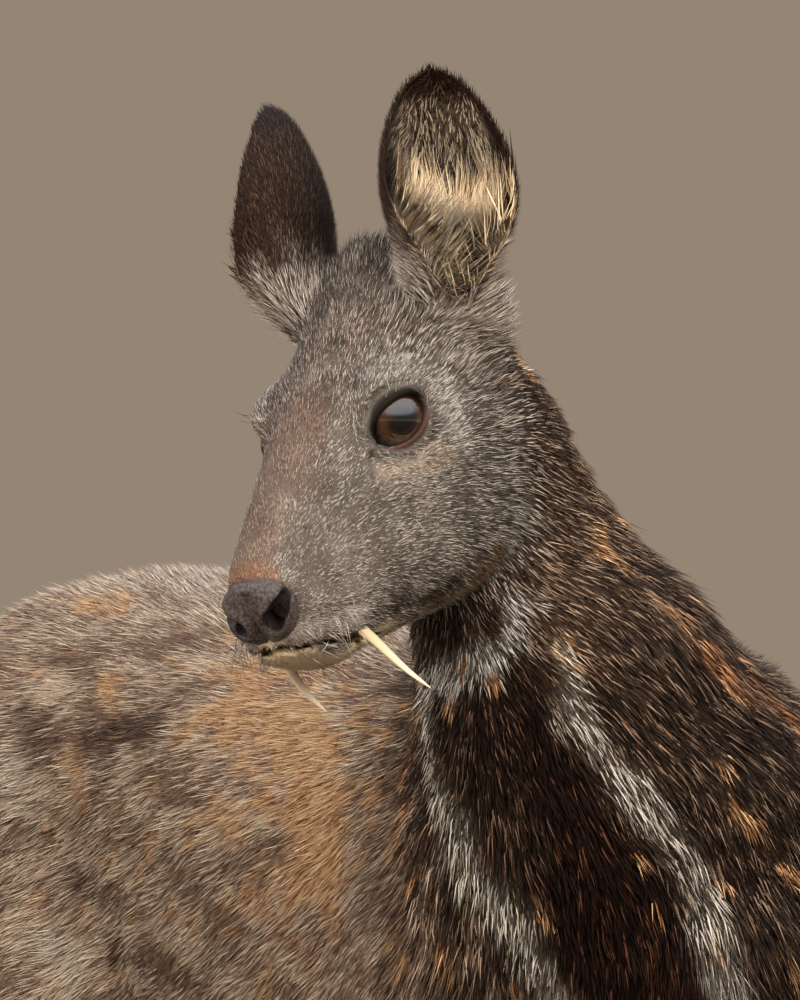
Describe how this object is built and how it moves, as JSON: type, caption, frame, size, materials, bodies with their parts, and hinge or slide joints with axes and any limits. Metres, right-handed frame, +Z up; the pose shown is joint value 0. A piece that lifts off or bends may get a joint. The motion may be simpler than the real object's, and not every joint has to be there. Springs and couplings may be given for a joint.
{
  "type": "musk deer",
  "caption": "Standing male Siberian musk deer, life size, head turned back over its right side, with tusk-like upper canines.",
  "frame": {"origin": "centre of the whole animal's box at the floor under its hooves", "axes": "+X the way the trunk faces, +Y its left side, +Z up; the head is turned about 68 degrees to its right"},
  "size_m": [0.6178, 0.3846, 0.8004],
  "materials": {
    "horn": "dark horn, dull",
    "ivory": "ivory tooth, satin",
    "eye": "dark brown wet eye, glossy",
    "nose_pad": "black-grey pebbled skin, moist",
    "ear_coat": "short dark brown hair outside, pale hair in the cup",
    "face_coat": "short grizzled grey-brown hair",
    "neck_coat": "long blackish-brown hair with two pale stripes",
    "leg_coat": "short dark brown hair",
    "body_coat": "coarse brown-grey hair with cream and orange-brown tips"
  },
  "bodies": {
    "root": {"ear_left": "ear_coat", "ear_right": "ear_coat", "eye_left": "eye", "eye_right": "eye", "foreleg_left_claw_inner": "horn", "foreleg_left_claw_outer": "horn", "foreleg_left_hoof_inner": "horn", "foreleg_left_hoof_outer": "horn", "foreleg_left_lower": "leg_coat", "foreleg_left_upper": "leg_coat", "foreleg_right_claw_inner": "horn", "foreleg_right_claw_outer": "horn", "foreleg_right_hoof_inner": "horn", "foreleg_right_hoof_outer": "horn", "foreleg_right_lower": "leg_coat", "foreleg_right_upper": "leg_coat", "head": "face_coat", "hindleg_left_claw_inner": "horn", "hindleg_left_claw_outer": "horn", "hindleg_left_hoof_inner": "horn", "hindleg_left_hoof_outer": "horn", "hindleg_left_lower": "leg_coat", "hindleg_left_upper": "leg_coat", "hindleg_right_claw_inner": "horn", "hindleg_right_claw_outer": "horn", "hindleg_right_hoof_inner": "horn", "hindleg_right_hoof_outer": "horn", "hindleg_right_lower": "leg_coat", "hindleg_right_upper": "leg_coat", "lower_jaw": "face_coat", "neck": "neck_coat", "nose_pad": "nose_pad", "tail": "body_coat", "torso": "body_coat", "tusk_left": "ivory", "tusk_right": "ivory"}
  },
  "joints": []
}
